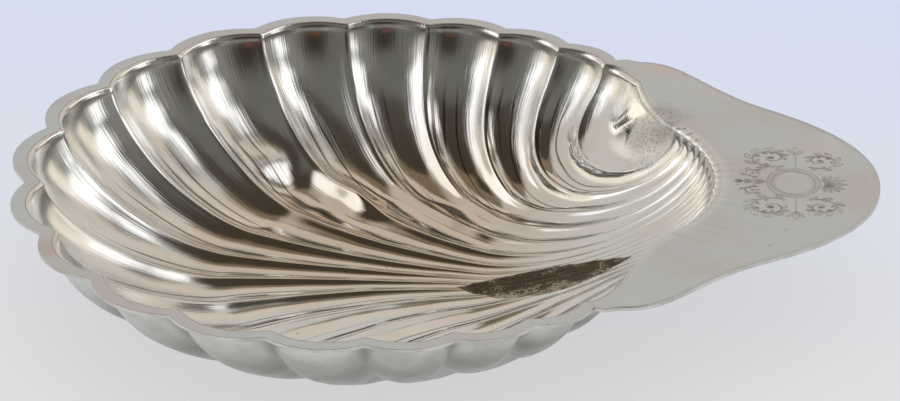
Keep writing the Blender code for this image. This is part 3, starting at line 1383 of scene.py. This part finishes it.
    def relief(self, bench: NodeBench, zones: Zones) -> Socket:
        """Fine relief: buffing lines, pits, grain of the crust and crossing hair scratches.

        Args:
            bench: Where the nodes are laid out.
            zones: Masks of the zones.

        Returns:
            The heights.
        """
        marks = bench.times(zones.buffing, bench.step(zones.wall, 0.0, 1.0, self.floor_buffing))
        pitted = bench.plus(zones.leaf, bench.times(zones.matte, self.matte_depth))
        scratches = []
        for number, turn in enumerate(self.scratch_turns):
            place = bench.turned(turn, self.scratch_stretch)
            scratches.append(bench.cloud(Cloud(1.0, 1.0, 20.0 + number, 0.66, 0.74), place))
        return bench.plus(marks, bench.times(pitted, zones.grain, self.grain_depth),
                          bench.times(bench.plus(*scratches), zones.plate, self.scratch_depth))

    def colour(self, bench: NodeBench, zones: Zones) -> Socket:
        """Colour of the silver with its film, grime, stains and crust, and painted dark reflection
        lines.

        Args:
            bench: Where the nodes are laid out.
            zones: Masks of the zones.

        Returns:
            The colour.
        """
        metal = bench.blend(bench.cloud(self.breath_cloud), self.clean, self.breath)
        x, y, _ = bench.parts(bench.place)
        drift = bench.times(bench.noise(80.0, 3.0, 14.0), self.warm_drift)
        film = bench.times(bench.step(bench.math("SUBTRACT", y, drift), *self.warm_sides),
                           bench.step(bench.plus(x, drift), *self.warm_ends),
                           bench.step(zones.along, *self.warm_rows))
        metal = bench.blend(film, metal, bench.blend(1.0, metal, self.warm, "MULTIPLY"))
        plate = bench.blend(bench.cloud(self.plate_cloud), self.plate_green, self.plate_rose)
        metal = bench.blend(zones.plate, metal, plate)
        for number, spot in enumerate(self.colour_spots):
            uneven = bench.times(bench.noise(300.0, 3.0, 30.0 + number), spot.reach)
            reach = bench.plus(bench.distance(spot.centre), uneven)
            share = bench.step(reach, 1.3 * spot.reach, 0.4 * spot.reach, 0.0, spot.strength)
            metal = bench.blend(share, metal, spot.colour)
        # Painted reflections: thin dark lines beside the ridges, laid over the metal.
        painted_reflection = bench.times(self.painted_dark_lines(bench, zones), self.painted_reflection_share)
        metal = bench.blend(painted_reflection, metal, self.painted_reflection_dark)
        by_mouth = bench.step(x, *self.grime_ends, *self.grime_shares)
        pits = bench.times(bench.step(zones.grain, *self.pit_grain), zones.matte, self.pit_share)
        for share in (bench.times(zones.roll, by_mouth), pits, bench.cloud(self.specks)):
            metal = bench.blend(share, metal, self.grime)
        worn = bench.plus(bench.cloud(self.crust_worn),
                          bench.step(y, *self.crust_sides, -self.crust_side_gain, 0.0))
        pale = bench.step(zones.grain, worn, bench.plus(worn, self.crust_contrast))
        return bench.blend(zones.leaf, metal, bench.blend(pale, self.crust_dark, self.crust_pale))

    def roughness(self, bench: NodeBench, zones: Zones) -> Socket:
        """Roughness: bright floor, softer walls, dull tab and crust.

        Args:
            bench: Where the nodes are laid out.
            zones: Masks of the zones.

        Returns:
            The roughness.
        """
        rough = bench.step(zones.wall, 0.0, 1.0, self.floor_roughness, self.wall_roughness)
        for mask, level in ((zones.plate, self.plate_roughness), (zones.roll, self.roll_roughness),
                            (zones.leaf, self.leaf_roughness),
                            (zones.matte, self.matte_roughness)):
            rough = bench.plus(rough, bench.times(mask, bench.math("SUBTRACT", level, rough)))
        smears = bench.times(bench.noise(90.0, 4.0, 6.0), self.smear_roughness)
        lines = bench.times(zones.buffing, zones.wall, self.line_roughness)
        return bench.math("SUBTRACT", bench.plus(rough, smears, lines), self.polish)


@dataclass(frozen=True)
class DullSilver:
    """Silver that is seldom rubbed up: the underside and the cut edge. Its colours are kept darker
    than the upper face's as painted shade. Where asked, more painted shade darkens the outer
    creases, the wall below a narrow band at the rim and the corner under the flange.
    """

    name: str
    clean: Rgba
    dull: Rgba
    roughness: float
    painted_shade_strength: float = 0.0
    # Painted shade on the outer creases, on the wall below a narrow band at the rim and in the
    # corner under the flange: its colour, places and strengths.
    painted_shade: Rgba = (0.22, 0.215, 0.20, 1.0)
    patches: Cloud = Cloud(140.0, 4.0, 2.0, 0.38, 0.66)
    crease_places: Pair = (0.32, 0.5)
    crease_shade: float = 0.75
    corner_inner: Pair = (-0.045, -0.065)
    corner_outer: Pair = (-0.085, -0.076)
    low_rows: Pair = (0.0, 0.11)
    low_shade: float = 0.9
    wall_edge: Pair = (-0.03, 0.0)
    bump_depth: float = 0.01 * MM

    def build(self) -> bpy.types.Material:
        """Make the material.

        Returns:
            The material.
        """
        bench = NodeBench(self.name)
        metal = bench.blend(bench.cloud(self.patches), self.clean, self.dull)
        across, along, _ = bench.mapped("flute_map")
        flute = bench.math("FRACT", bench.times(across, float(ShellSheet.flute_count)))
        # Painted shade: darker outer creases, wall below a band at the rim and corner under the
        # flange.
        painted_dark_lines = bench.step(bench.apart(flute, 0.5), *self.crease_places, 0.0, self.crease_shade)
        low = bench.step(along, *self.low_rows, 0.0, self.low_shade)
        corner = bench.times(bench.step(along, *self.corner_inner),
                             bench.step(along, *self.corner_outer))
        wall = bench.times(bench.math("MAXIMUM", painted_dark_lines, low),
                           bench.step(along, *self.wall_edge))
        painted_shade = bench.times(bench.math("MAXIMUM", wall, corner), self.painted_shade_strength)
        bench.feed(bench.shader.inputs["Base Color"], bench.blend(painted_shade, metal, self.painted_shade))
        smears = bench.plus(bench.noise(320.0, 3.0, 8.0), 0.5)
        bench.feed(bench.shader.inputs["Roughness"], bench.times(smears, self.roughness))
        bench.bump(bench.noise(900.0, 2.0, 4.0), self.bump_depth)
        return bench.material


@dataclass(frozen=True)
class GrooveFinish:
    """Old polish and tarnish in the graver's cuts, with a brighter burr."""

    name: str = "engraved_groove"
    bottom: Rgba = (0.34, 0.34, 0.30, 1.0)
    worn: Rgba = (0.62, 0.62, 0.58, 1.0)
    wear: Cloud = Cloud(260.0, 3.0, 40.0, 0.40, 0.62)
    burr: Rgba = (0.88, 0.88, 0.85, 1.0)
    burr_places: Pair = (0.22, 0.42)
    roughness: Pair = (0.28, 0.5)
    bump_depth: float = 0.01 * MM

    def build(self) -> bpy.types.Material:
        """Make the material.

        Returns:
            The material.
        """
        bench = NodeBench(self.name)
        side = bench.apart(bench.mapped("groove_map")[1], 0.5)
        groove = bench.blend(bench.cloud(self.wear), self.bottom, self.worn)
        colour = bench.blend(bench.step(side, *self.burr_places), groove, self.burr)
        bench.feed(bench.shader.inputs["Base Color"], colour)
        smears = bench.noise(700.0, 2.0, 41.0)
        bench.feed(bench.shader.inputs["Roughness"],
                   bench.step(smears, 0.3, 0.7, *self.roughness))
        bench.bump(smears, self.bump_depth)
        return bench.material


# Their dull patches are the silver's own, but their overall darkness against the upper face is
# painted shade. The underside also takes the painted shade of its creases, wall and corner.
UNDERSIDE = DullSilver("dulled_silver_underside_painted_shade", (0.70, 0.705, 0.68, 1.0),
                       (0.55, 0.56, 0.53, 1.0), 0.28, painted_shade_strength=1.0)
CUT_EDGE = DullSilver("silver_edge_painted_shade", (0.72, 0.71, 0.69, 1.0), (0.52, 0.51, 0.49, 1.0), 0.3)


@dataclass
class PhotoCamera:
    """Camera at the photograph's view, with the size of a pixel at its target."""

    image_width: int = 900
    image_height: int = 401
    focal_pixels: float = 4004.0
    pixel_size: float = 0.1716 * MM
    elevation: float = math.radians(24.7)
    turn: float = math.radians(-5.21)
    target_pixel: Pair = (371.3, 166.6)
    sensor: float = 36.0
    clip: Pair = (0.05, 20.0)

    def build(self, target: Vector) -> bpy.types.Object:
        """Place the camera.

        Args:
            target: Point that the photograph shows at the target pixel.

        Returns:
            The camera.
        """
        right = Vector((math.cos(self.turn), -math.sin(self.turn), 0.0))
        level = Vector((math.sin(self.turn), math.cos(self.turn), 0.0))
        up = level * math.sin(self.elevation) + Vector((0, 0, math.cos(self.elevation)))
        ahead = level * math.cos(self.elevation) - Vector((0, 0, math.sin(self.elevation)))
        place = target - ahead * (self.focal_pixels * self.pixel_size)
        to_right = self.image_width / 2 - self.target_pixel[0]
        to_down = self.image_height / 2 - self.target_pixel[1]
        axis = (ahead * self.focal_pixels + right * to_right - up * to_down).normalized()
        side = axis.cross(up).normalized()
        turn = Matrix((side, side.cross(axis), -axis)).transposed()
        data = bpy.data.cameras.new("photo_camera")
        data.sensor_width = self.sensor
        data.lens = self.focal_pixels * self.sensor / self.image_width
        data.clip_start, data.clip_end = self.clip
        camera = bpy.data.objects.new("photo_camera", data)
        camera.matrix_world = Matrix.Translation(place) @ turn.to_4x4()
        bpy.context.scene.collection.objects.link(camera)
        bpy.context.scene.camera = camera
        return camera


class Tone(Enum):
    """Colours of the studio's silks, papers and cloths."""

    GREY_ROOM = screen_colour(100, 100, 94)
    WHITE_SILK = screen_colour(255, 255, 255)
    CREAM_SILK = screen_colour(236, 228, 214)
    PALE_WALL = screen_colour(193, 190, 185)
    PEARL_WALL = screen_colour(193, 188, 181)
    SAND_PAPER = screen_colour(201, 191, 180)
    BROWN_PAPER = screen_colour(124, 111, 93)
    GREY_PAPER = screen_colour(150, 148, 142)
    SLATE_CLOTH = screen_colour(124, 122, 115)
    SLATE_PAPER = screen_colour(100, 95, 88)
    DARK_CEILING = screen_colour(66, 60, 52)
    BLACK_CLOTH = screen_colour(52, 47, 42)
    AMBER = screen_colour(214, 120, 72)


def flat_sheet(name: str, half_width: float, half_height: float,
               material: bpy.types.Material) -> bpy.types.Object:
    """A flat rectangle that faces up.

    Args:
        name: Its name.
        half_width: Half its size along X.
        half_height: Half its size along Y.
        material: Its material.

    Returns:
        The rectangle.
    """
    data = bpy.data.meshes.new(name)
    corners = [(x * half_width, y * half_height, 0.0)
               for x, y in ((-1, -1), (1, -1), (1, 1), (-1, 1))]
    data.from_pydata(corners, [], [(0, 1, 2, 3)])
    data.materials.append(material)
    return bpy.data.objects.new(name, data)


@dataclass(frozen=True)
class Panel:
    """A flat panel of the studio that shows in the silver alone, with angles in degrees."""

    name: str
    tone: Tone
    azimuth: float
    elevation: float
    half_width: float
    half_height: float
    soft_edge: float
    strength: float = 1.0

    def build(self, distance: float) -> bpy.types.Object:
        """Hang the panel square to the dish.

        Args:
            distance: Distance from the dish.

        Returns:
            The panel.
        """
        width = distance * math.tan(math.radians(self.half_width))
        height = distance * math.tan(math.radians(self.half_height))
        panel = flat_sheet(self.name, width, height, self.material())
        azimuth, elevation = math.radians(self.azimuth), math.radians(self.elevation)
        out = Vector((math.cos(azimuth) * math.cos(elevation),
                      math.sin(azimuth) * math.cos(elevation), math.sin(elevation)))
        across = Vector((-math.sin(azimuth), math.cos(azimuth), 0.0))
        turn = Matrix((across, out.cross(across), out)).transposed()
        panel.matrix_world = Matrix.Translation(out * distance) @ turn.to_4x4()
        return panel

    def material(self) -> bpy.types.Material:
        """Glow of the panel, which fades out towards its edges.

        Returns:
            The material.
        """
        bench = NodeBench(self.name)
        bench.nodes.remove(bench.shader)
        fades = [bench.step(bench.apart(place, 0.5), 0.5, 0.5 * (1 - self.soft_edge))
                 for place in bench.parts(bench.coordinates["Generated"])[:2]]
        clear = bench.nodes.new("ShaderNodeBsdfTransparent").outputs[0]
        bench.show(bench.layered(bench.times(*fades), clear,
                                 bench.glow(self.tone.value, self.strength)))
        return bench.material


PANELS = (
    Panel("ceiling_behind", Tone.DARK_CEILING, 85, 76, 70, 16, 0.15),
    Panel("brown_paper_high", Tone.BROWN_PAPER, 100, 55, 40, 5.5, 0.2),
    Panel("sand_paper_behind", Tone.SAND_PAPER, 72, 37, 48, 15.5, 0.12),
    Panel("pale_wall_low", Tone.PALE_WALL, 100, 5, 62, 28, 0.25),
    Panel("pale_wall_high", Tone.PALE_WALL, 62, 55, 11, 10, 0.5),
    Panel("pearl_wall_left", Tone.PEARL_WALL, 143, 33, 24, 24, 0.3),
    Panel("slate_cloth_right", Tone.SLATE_CLOTH, -30, 30, 14, 50, 0.8),
    Panel("black_cloth_front", Tone.BLACK_CLOTH, -80, 18, 32, 46, 0.7),
    Panel("amber_glint", Tone.AMBER, -83, 12, 2.5, 4, 0.5),
    Panel("cream_silk_right", Tone.CREAM_SILK, 38, 18, 13, 14, 0.3),
    Panel("white_silk_high", Tone.WHITE_SILK, 20, 42, 19, 13, 0.35, 1.25),
    Panel("slate_paper_behind", Tone.SLATE_PAPER, 51, 46, 10, 8, 0.35),
    Panel("white_silk_top", Tone.WHITE_SILK, 35, 59, 10, 8, 0.4, 1.3),
    Panel("white_silk_right", Tone.WHITE_SILK, -4, 14, 13, 20, 0.4, 1.25),
    Panel("grey_paper_right", Tone.GREY_PAPER, 11, 13, 10, 13, 0.5),
    Panel("pale_wall_left", Tone.PALE_WALL, -163, 24, 14, 24, 0.9),
    Panel("cream_silk_left", Tone.CREAM_SILK, 170, 12, 27, 16, 0.4),
    Panel("white_silk_left", Tone.WHITE_SILK, 176, 34, 13, 18, 0.4, 1.3),
    Panel("white_silk_behind", Tone.WHITE_SILK, 160, 43, 8, 12, 0.4, 1.1),
    Panel("cream_silk_behind", Tone.CREAM_SILK, 131, 4, 15, 11, 0.35, 1.3),
)


@dataclass
class Studio:
    """Plain pale floor, even light, and the room and panels that the silver mirrors."""

    floor_size: float = 6.0
    floor_near: Rgba = screen_colour(227, 227, 227)
    floor_far: Rgba = screen_colour(213, 221, 243)
    fade_start: float = -0.06
    fade_end: float = 0.16
    floor_glow: float = 0.78
    room_radius: float = 4.0
    panel_distance: float = 3.0
    panel_gap: float = 0.06

    def build(self) -> None:
        """Make the floor, the room, the panels and the world."""
        self.floor()
        self.room()
        for number, panel in enumerate(PANELS):
            self.hide_from_camera(panel.build(self.panel_distance - number * self.panel_gap))
        world = bpy.data.worlds.new("even_light")
        bpy.context.scene.world = world
        world.use_nodes = True
        light = world.node_tree.nodes["Background"]
        light.inputs["Color"].default_value = (1.0, 1.0, 1.0, 1.0)
        light.inputs["Strength"].default_value = 1.0
        bpy.context.scene.view_settings.view_transform = "Standard"

    @staticmethod
    def hide_from_camera(thing: bpy.types.Object) -> None:
        """Let a thing of the studio show in the silver and nowhere else.

        Args:
            thing: The thing.
        """
        bpy.context.scene.collection.objects.link(thing)
        thing.visible_camera = False
        thing.visible_diffuse = False
        thing.visible_shadow = False

    def floor(self) -> None:
        """Lay the pale floor, a little bluer towards the back."""
        bench = NodeBench("floor_paper", metallic=0.0)
        bench.shader.inputs["Roughness"].default_value = 1.0
        bench.shader.inputs["Specular IOR Level"].default_value = 0.0
        fade = bench.step(bench.parts(bench.place)[1], self.fade_start, self.fade_end)
        colour = bench.blend(fade, self.floor_near, self.floor_far)
        bench.feed(bench.shader.inputs["Base Color"], colour)
        bench.show(bench.layered(self.floor_glow, bench.shader.outputs[0], bench.glow(colour)))
        floor = flat_sheet("floor", self.floor_size / 2, self.floor_size / 2, bench.material)
        bpy.context.scene.collection.objects.link(floor)

    def room(self) -> None:
        """Close the studio in with the grey of its room."""
        mesh = bmesh.new()
        bmesh.ops.create_icosphere(mesh, subdivisions=4, radius=self.room_radius)
        data = bpy.data.meshes.new("room")
        mesh.to_mesh(data)
        mesh.free()
        bench = NodeBench("room_grey")
        bench.nodes.remove(bench.shader)
        bench.show(bench.glow(Tone.GREY_ROOM.value))
        data.materials.append(bench.material)
        self.hide_from_camera(bpy.data.objects.new("room", data))


def main() -> None:
    """Build the dish, its stage and the camera, and report each piece."""
    logging.basicConfig(level=logging.INFO, format="%(name)s: %(message)s")
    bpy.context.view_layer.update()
    sheet = ShellSheet()
    finishes = [finish.build() for finish in (SilverFinish(), UNDERSIDE, CUT_EDGE)]
    shell = sheet.build(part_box(NODE), finishes)
    sheet.dress(shell)
    LOG.info("%s: %d faces", shell.name, len(shell.data.polygons))
    ornament = ScrollEngraving()
    engraving = ornament.build(sheet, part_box(NODE), GrooveFinish().build())
    ornament.dress(engraving)
    LOG.info("%s: %d faces", engraving.name, len(engraving.data.polygons))
    Studio().build()
    PhotoCamera().build(Vector((-sheet.box_middle, 0.0, sheet.rim_height)))


if __name__ == "__main__":
    main()
